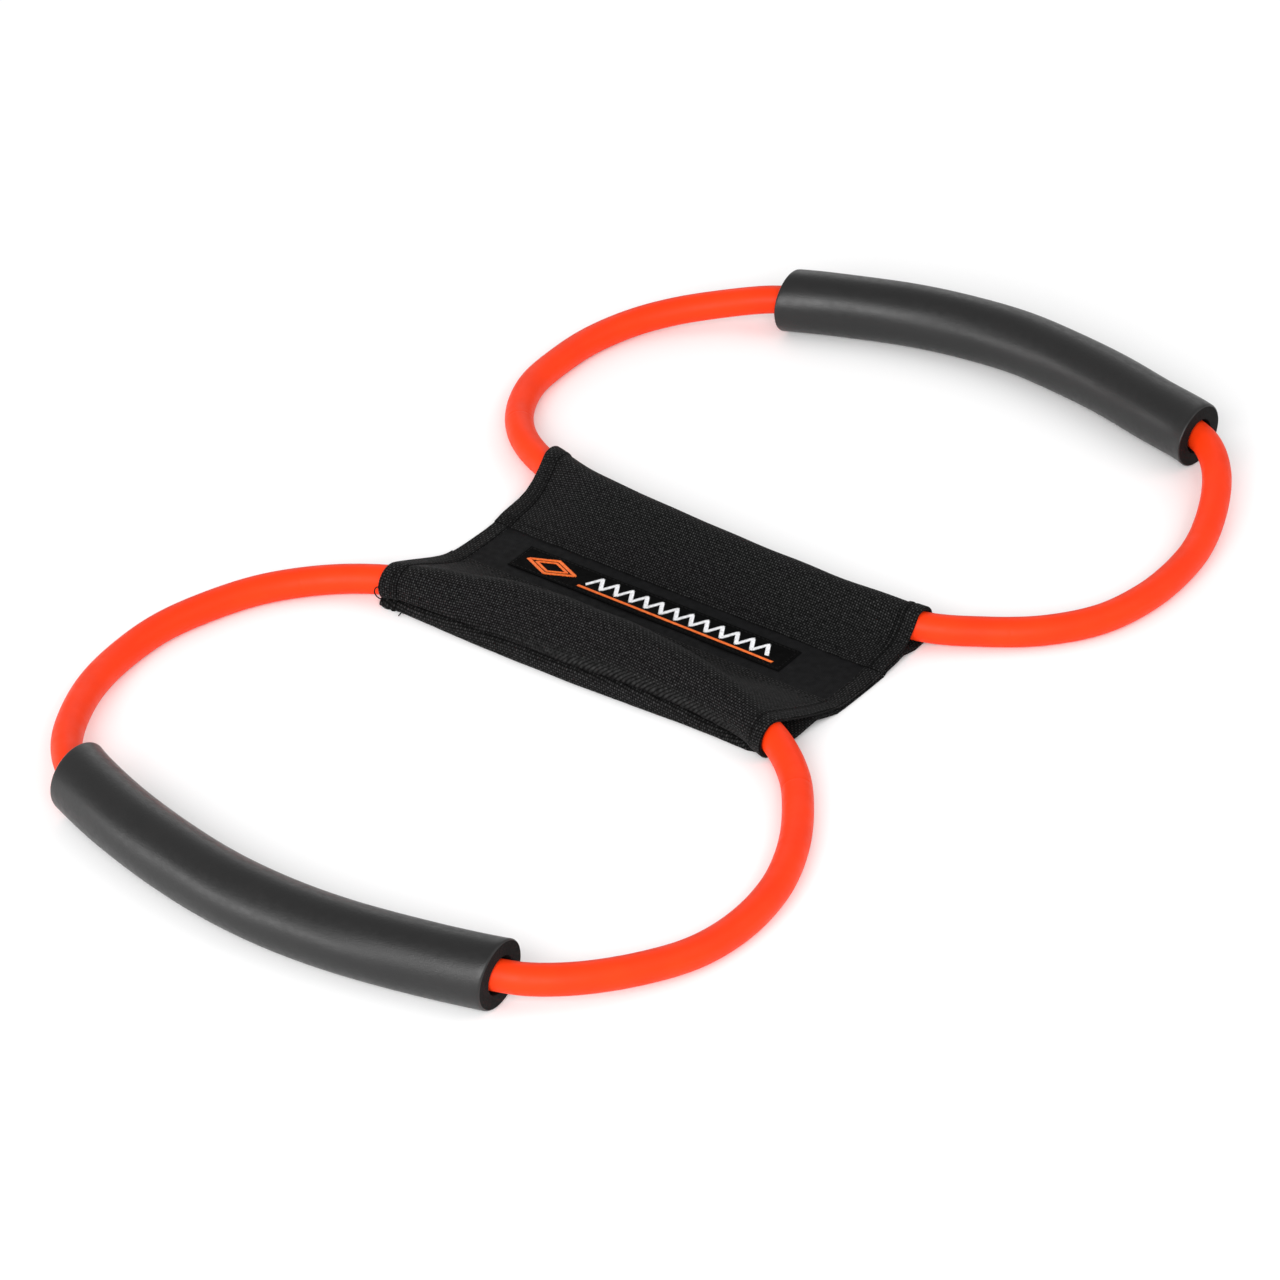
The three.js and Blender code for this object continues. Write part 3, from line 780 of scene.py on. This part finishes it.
def sleeve_sheet(tube_line, seam_line, skirt_line, seam_y, radius, end_sags, hollow, seed):
    """A sleeve's cloth, with its hems, the grooves that its seams pull in, its slow ripples, and painted
    shade along its seam and hem creases.
    """
    along = rows_along(SLEEVE_LENGTH, CLOTH_STEP, HEM_WIDTH)
    length = along[-1]
    g = sleeve_grids(along, tube_line, seam_line, skirt_line, seam_y, radius, end_sags, hollow)
    along_grid = np.repeat(along[:, None], g["across"].shape[1], 1)
    from_end = np.minimum(along_grid, length - along_grid)
    hem = 1 - smooth_step(from_end, HEM_WIDTH - 0.5 * MM, HEM_WIDTH + 0.3 * MM)
    above = g["from_skirt"] < 1 * MM
    pressed = 0.35 * MM * (1 - smooth_step(g["across"], 1 * MM, 4 * MM))
    thickness = CLOTH + hem * HEM_EXTRA * above - pressed
    thickness = thickness * np.minimum(rounded(along_grid, length), rounded(g["across"], g["total"]))
    sheet = Sheet(g["middle"], thickness, along_grid, g["across"])
    lift = hem * HEM_EXTRA / 2 * above
    top_side = smooth_step(-g["from_skirt"], 0, 3 * MM) * smooth_step(g["across"], 0, 6 * MM)
    lift += 0.3 * MM * ripples(along_grid, g["across"], seed) * top_side
    groove = np.exp(-((g["from_seam"] / (0.75 * MM)) ** 2))
    beside = np.exp(-(((np.abs(g["from_seam"]) - 2.2 * MM) / (1.3 * MM)) ** 2))
    lift += (0.35 * beside - 1.35 * groove) * MM * smooth_step(from_end, 0, 3 * MM)
    near_seam = smooth_step(g["from_seam"], -6.5 * MM, -1.5 * MM) * (g["from_seam"] < 0)
    gather = smooth_step(along_grid, 0.3 * length, 0.55 * length) * smooth_step(from_end, 4 * MM, 16 * MM)
    row = hem_row(from_end)
    lift -= 0.4 * MM * row * above
    sheet.middle = sheet.middle + sheet.normal * lift[..., None]
    sheet.middle[..., 2] = np.maximum(sheet.middle[..., 2], thickness / 2 + 0.05 * MM)
    sheet = Sheet(sheet.middle, thickness, along_grid, g["across"])
    sheet.from_seam = g["from_seam"]
    sheet.rows_at = along
    sheet.gathered = near_seam * gather
    # Painted shade along the outer seam's groove, the hem's stitch row and the step at the hem's edge.
    outer_seam_shade = np.exp(-((g["from_seam"] / (0.7 * MM)) ** 2))
    sheet.painted_crease_shade = 0.9 * np.maximum(outer_seam_shade, np.maximum(row, hem_edge(from_end)) * above)
    return sheet


def build_sleeve(side, sleeve, outer_seam, skirt, seam_y, radius, end_sags, hollow, seed):
    extended = [2 * np.array(sleeve[0]) - sleeve[1]] + sleeve + [2 * np.array(sleeve[-1]) - sleeve[-2]]
    sheet = sleeve_sheet(Line(smooth_line(extended)), Line(smooth_line(outer_seam)),
                         Line(smooth_line(skirt)), seam_y, radius, end_sags, hollow, seed)
    piece = sheet.build(f"{side}_sleeve_cloth")
    dress(piece, WOVEN, "woven_cloth", "panel", f"{side}_sleeve")
    return sheet


near_sheet = build_sleeve("near", NEAR_SLEEVE, NEAR_OUTER_SEAM, NEAR_SKIRT, NEAR_SEAM_Y,
                          NEAR_SLEEVE_RADIUS, (0.3, 0), 11 * MM, 3)
far_sheet = build_sleeve("far", FAR_SLEEVE, FAR_OUTER_SEAM, FAR_SKIRT, FAR_SEAM_Y,
                         FAR_SLEEVE_RADIUS, (4.2, 4.2), 0, 8)


def flat_sheet(name, x_range, y_range, z, thickness, wave_height, seed, material, slot_name, nodes,
               rise=TROUGH_RISE, follows=(0, 0)):
    """A flat strip of the panel. follows says how much each end keeps to the curve of the short edge."""
    along = rows_along(x_range[1] - x_range[0], CLOTH_STEP)
    across = rows_along(y_range[1] - y_range[0], 1.0 * MM)
    a, b = np.meshgrid(along, across, indexing="ij")
    y = y_range[0] + b
    share = a / along[-1]
    curve = (left_edge(y) - left_edge(BAND_CENTRE_Y)) * follows[0] * (1 - share)
    curve += (right_edge(y) - right_edge(BAND_CENTRE_Y)) * follows[1] * share
    middle = np.stack([x_range[0] + a + curve, y, np.full_like(a, z)], -1)
    middle[..., 2] += wave_height * ripples(a, b, seed)
    middle[..., 2] += rise * np.abs((y - BAND_CENTRE_Y) / BAND_HALF_WIDTH) ** 3
    thick = thickness * np.minimum(rounded(a, along[-1]), rounded(b, across[-1]))
    sheet = Sheet(middle, thick, a + x_range[0], b)
    sheet.piece = sheet.build(name)
    sheet.flat = (x_range[1] - x_range[0], y_range[1] - y_range[0])
    dress(sheet.piece, material, slot_name, "panel", *nodes)
    return sheet


BAND_Y = (NEAR_SEAM_Y - 0.9 * MM, FAR_SEAM_Y + 0.9 * MM)

left_x = float(left_edge(BAND_CENTRE_Y))
right_x = float(right_edge(BAND_CENTRE_Y))
backing_sheet = flat_sheet("backing_sheet", (left_x, right_x), BAND_Y, BACKING_Z, CLOTH, 0, 1, WOVEN,
                           "woven_cloth", ["backing_cloth"], 0, (1, 1))
band_sheet = flat_sheet("centre_band_cloth", (left_x + 5 * MM, right_x - 5 * MM), BAND_Y, BAND_Z,
                        1.0 * MM, 0.1 * MM, 2, RIBBED, "centre_cloth", ["centre_band"])
left_hem_sheet = flat_sheet("left_hem_fold", (left_x, left_x + HEM_WIDTH), BAND_Y, HEM_Z, HEM_THICKNESS,
                            0, 4, WOVEN, "woven_cloth", ["left_hem"], HEM_RISE, (1, 0))
right_hem_sheet = flat_sheet("right_hem_fold", (right_x - HEM_WIDTH, right_x), BAND_Y, HEM_Z, HEM_THICKNESS,
                             0, 5, WOVEN, "woven_cloth", ["right_hem"], HEM_RISE, (0, 1))

# Label patch
label_sheet = flat_sheet(
    "label_patch",
    (LABEL_CENTRE_X - LABEL_LENGTH / 2, LABEL_CENTRE_X + LABEL_LENGTH / 2),
    (BAND_CENTRE_Y - LABEL_WIDTH / 2, BAND_CENTRE_Y + LABEL_WIDTH / 2),
    LABEL_Z, LABEL_THICKNESS, 0.06 * MM, 6, SATIN, "label_cloth", ["label"])


# ---------------------------------------------------------------- stitches and embroidery


def stitches(name, places, thickness, material, slot_name, nodes, sides=6, stations=5):
    """Short rounded stitches, one mesh. Each place is (middle, direction, normal, length)."""
    points = []
    faces = []
    for middle, direction, normal, length in places:
        side = unit(np.cross(direction, normal))
        first = len(points)
        for i in range(stations):
            t = i / (stations - 1) * 2 - 1
            radius = thickness / 2 * math.sqrt(max(0.06, 1 - t * t * 0.94))
            centre = middle + direction * t * length / 2 - normal * thickness * 0.35 * t * t
            for k in range(sides):
                angle = 2 * math.pi * k / sides
                points.append(centre + side * radius * math.cos(angle) + normal * radius * math.sin(angle))
        faces += grid_faces(stations, sides, False, True, first)
        faces.append(tuple(range(first, first + sides)))
        last = first + (stations - 1) * sides
        faces.append(tuple(range(last, last + sides)))
    piece = mesh_object(name, points, faces)
    dress(piece, material, slot_name, "panel", *nodes)
    return piece


def row_on_sheet(sheet, start, end, pitch, length, lift):
    """Places for a row of stitches along a straight line on a sheet's top, between two grid shares."""
    line = []
    normals = []
    for share in np.linspace(0, 1, 60):
        point, normal = sheet.on_top(start[0] + (end[0] - start[0]) * share,
                                     start[1] + (end[1] - start[1]) * share)
        line.append(point)
        normals.append(normal)
    return places_along(np.array(line), np.array(normals), pitch, length, lift)


def places_along(points, normals, pitch, length, lift):
    """Places for stitches at an even pitch along a line of points."""
    line = Line(points)
    number = int(line.length / pitch)
    places = []
    for i in range(number):
        distance = (i + 0.5) * line.length / number
        where = np.searchsorted(line.distance, distance) - 1
        normal = normals[max(0, where)]
        middle = line.at(distance) + normal * lift
        ahead = unit(line.at(distance + 0.4 * length) - line.at(distance - 0.4 * length))
        places.append((middle, ahead, normal, length))
    return places


STITCH_PITCH = 3.1 * MM
STITCH_LENGTH = 2.5 * MM
STITCH_THICKNESS = 0.5 * MM
STITCH_LIFT = 0.1 * MM
INNER_SEAM_COLUMN = 8
SATIN_PITCH = 0.3 * MM
SATIN_THICKNESS = 0.36 * MM
SATIN_LIFT = 0.16 * MM


def seam_columns(sheet, offset):
    """Each row's column nearest to a distance from the outer seam."""
    return np.abs(sheet.from_seam - offset).argmin(axis=1)


def sleeve_stitches(side, sheet):
    columns = seam_columns(sheet, 0)
    rows = np.arange(4, len(columns) - 4)
    points = sheet.top[rows, columns[rows]]
    normals = sheet.normal[rows, columns[rows]]
    places = places_along(points, normals, STITCH_PITCH, STITCH_LENGTH, STITCH_LIFT)
    stitches(f"{side}_outer_seam_stitches", places, STITCH_THICKNESS, BLACK, "black_thread",
             [f"{side}_outer_seam_thread"])
    points = sheet.top[rows, INNER_SEAM_COLUMN]
    normals = sheet.normal[rows, INNER_SEAM_COLUMN]
    places = places_along(points, normals, STITCH_PITCH, STITCH_LENGTH, STITCH_LIFT / 2)
    stitches(f"{side}_inner_seam_stitches", places, STITCH_THICKNESS, BLACK, "black_thread",
             [f"{side}_inner_seam_thread"])


sleeve_stitches("near", near_sheet)
sleeve_stitches("far", far_sheet)


# Where the left hem's thread has come loose: a loop at the near mouth, and a tail under the skirt
LOOSE_THREADS = [
    [(-87.9, -50.2, 10), (-90.2, -50.7, 9), (-91, -50.7, 6.8), (-90, -50.5, 5), (-88.2, -50.2, 4.4)],
    [(-79.2, -49, 2.6), (-79.5, -50.2, 1.4), (-80, -50.7, 0.5)],
]


def loose_thread(points):
    """Short overlapping stitches, which make one thin thread."""
    line = smooth_line(points)
    normals = np.repeat(np.array([[0, -1.0, 0]]), len(line), 0)
    return places_along(line, normals, 0.45 * MM, 0.9 * MM, 0)


def hem_stitches(side):
    """One row through the hem of both sleeves and the band between them."""
    distance = HEM_WIDTH - HEM_STITCH_INSET
    places = []
    if side == "left":
        for points in LOOSE_THREADS:
            places += loose_thread(points)
    for sheet in (near_sheet, far_sheet):
        stitched_at = distance if side == "left" else sheet.rows_at[-1] - distance
        row = int(np.abs(sheet.rows_at - stitched_at).argmin())
        columns = seam_columns(sheet, -1.5 * MM)
        span = slice(3, int(columns[row]))
        places += places_along(sheet.top[row, span], sheet.normal[row, span], STITCH_PITCH,
                               STITCH_LENGTH, STITCH_LIFT)
    sheet = left_hem_sheet if side == "left" else right_hem_sheet
    share = distance / HEM_WIDTH if side == "left" else 1 - distance / HEM_WIDTH
    places += row_on_sheet(sheet, (share, 0.08), (share, 0.92), STITCH_PITCH, STITCH_LENGTH,
                           STITCH_LIFT)
    stitches(f"{side}_hem_stitches", places, STITCH_THICKNESS, BLACK, "black_thread",
             [f"{side}_hem_thread"])


hem_stitches("left")
hem_stitches("right")


def label_point(x, y):
    """A point on the label's top."""
    share_x = (x - LABEL_CENTRE_X) / LABEL_LENGTH + 0.5
    share_y = (y - BAND_CENTRE_Y) / LABEL_WIDTH + 0.5
    z = float(np.interp(share_x, np.linspace(0, 1, len(label_sheet.top)),
                        label_sheet.top[:, int(share_y * (label_sheet.top.shape[1] - 1)), 2]))
    return np.array([x, y, z])


def label_line(corners, spacing=0.5 * MM):
    """Points a spacing apart on the label, along straight strokes between corners."""
    points = []
    for (ax, ay), (bx, by) in zip(corners[:-1], corners[1:]):
        count = max(2, int(math.hypot(bx - ax, by - ay) / spacing))
        for share in np.linspace(0, 1, count, endpoint=False):
            points.append(label_point(ax + (bx - ax) * share, ay + (by - ay) * share))
    points.append(label_point(*corners[-1]))
    return np.array(points)


UP = np.array([0.0, 0.0, 1.0])


def border_stitches():
    inset = 1.1 * MM
    x0, x1 = LABEL_CENTRE_X - LABEL_LENGTH / 2 + inset, LABEL_CENTRE_X + LABEL_LENGTH / 2 - inset
    y0, y1 = BAND_CENTRE_Y - LABEL_WIDTH / 2 + inset, BAND_CENTRE_Y + LABEL_WIDTH / 2 - inset
    points = label_line([(x0, y0), (x1, y0), (x1, y1), (x0, y1), (x0, y0)])
    normals = np.repeat(UP[None], len(points), 0)
    places = places_along(points, normals, 1.9 * MM, 1.6 * MM, 0.12 * MM)
    stitches("label_border_stitches", places, 0.45 * MM, BLACK, "black_thread", ["label_thread"])


def satin_places(corners, width):
    """Close stitches laid across a stroke, as satin embroidery has them."""
    line = Line(label_line(corners))
    places = []
    for i in range(int(line.length / SATIN_PITCH)):
        distance = (i + 0.5) * SATIN_PITCH
        tangent = line.tangent(distance, 0.6 * MM)
        across = unit(np.cross(UP, tangent))
        lean = unit(across + 0.35 * tangent)
        places.append((line.at(distance) + UP * SATIN_LIFT, lean, UP, width))
    return places


border_stitches()

underline = [(LABEL_CENTRE_X - 31 * MM, BAND_CENTRE_Y - 4.2 * MM),
             (LABEL_CENTRE_X + 56 * MM, BAND_CENTRE_Y - 4.2 * MM)]
stitches("underline_embroidery", satin_places(underline, 1.4 * MM), SATIN_THICKNESS, ORANGE,
         "orange_thread", ["label_underline"])

ZIGZAG_STROKES = 24
zigzag = []
for i in range(ZIGZAG_STROKES + 1):
    zigzag.append((LABEL_CENTRE_X + (-29 + 81 * i / ZIGZAG_STROKES) * MM,
                   BAND_CENTRE_Y + (-2.1 if i % 2 == 0 else 4.3) * MM))
stitches("zigzag_embroidery", satin_places(zigzag, 1.8 * MM), SATIN_THICKNESS, WHITE,
         "white_thread", ["label_zigzag"])

DIAMOND_X = LABEL_CENTRE_X - 46 * MM
diamond = []
for scale in (0.86, 0.56):
    for dx, dy in ((-12.5, 0), (0, -5.75), (12.5, 0), (0, 5.75)):
        diamond.append((DIAMOND_X + dx * scale * MM, BAND_CENTRE_Y + dy * scale * MM))
rings = satin_places(diamond[:4] + diamond[:1], 1.5 * MM)
rings += satin_places(diamond[4:] + diamond[4:5], 1.2 * MM)
stitches("diamond_embroidery", rings, SATIN_THICKNESS, ORANGE, "orange_thread", ["label_diamond"])


# ---------------------------------------------------------------- stage


def add_floor():
    bpy.ops.mesh.primitive_grid_add(x_subdivisions=2, y_subdivisions=2, size=12)
    floor = bpy.context.active_object
    floor.name = "floor"
    floor.data.materials.append(floor_material())


def add_light(name, place, size, power, aim=(0, 0, 0)):
    light = bpy.data.lights.new(name, "AREA")
    light.shape = "RECTANGLE"
    light.size, light.size_y = size
    light.energy = power
    lamp = bpy.data.objects.new(name, light)
    lamp.location = place
    lamp.rotation_euler = (Vector(aim) - Vector(place)).to_track_quat("-Z", "Y").to_euler()
    bpy.context.scene.collection.objects.link(lamp)


def add_world(strength):
    world = bpy.data.worlds.new("studio")
    world.use_nodes = True
    background = world.node_tree.nodes["Background"]
    background.inputs["Color"].default_value = (1, 1, 1, 1)
    background.inputs["Strength"].default_value = strength
    bpy.context.scene.world = world


def add_camera():
    back = Vector((math.sin(CAMERA_AZIMUTH) * math.cos(CAMERA_ELEVATION),
                   -math.cos(CAMERA_AZIMUTH) * math.cos(CAMERA_ELEVATION),
                   math.sin(CAMERA_ELEVATION)))
    camera = bpy.data.objects.new("camera", bpy.data.cameras.new("camera"))
    camera.data.lens = CAMERA_LENS
    camera.data.sensor_width = SENSOR_WIDTH
    camera.data.clip_end = 30
    camera.location = LOOK_AT + back * CAMERA_DISTANCE
    camera.rotation_euler = back.to_track_quat("Z", "Y").to_euler()
    bpy.context.scene.collection.objects.link(camera)
    bpy.context.scene.camera = camera


add_floor()
add_world(WORLD_STRENGTH)
add_light("right_back_softbox", (1.7, 0.8, 1.6), (2.2, 1.6), 12)
add_light("right_front_softbox", (0.9, -1.9, 1.25), (2.2, 1.2), 62)
add_light("left_low_softbox", (-1.0, -1.8, 0.32), (1.8, 0.5), 17)
add_light("left_back_softbox", (-1.3, 1.9, 0.8), (1.4, 0.6), 4)
add_camera()
bpy.context.scene.view_settings.view_transform = "Standard"
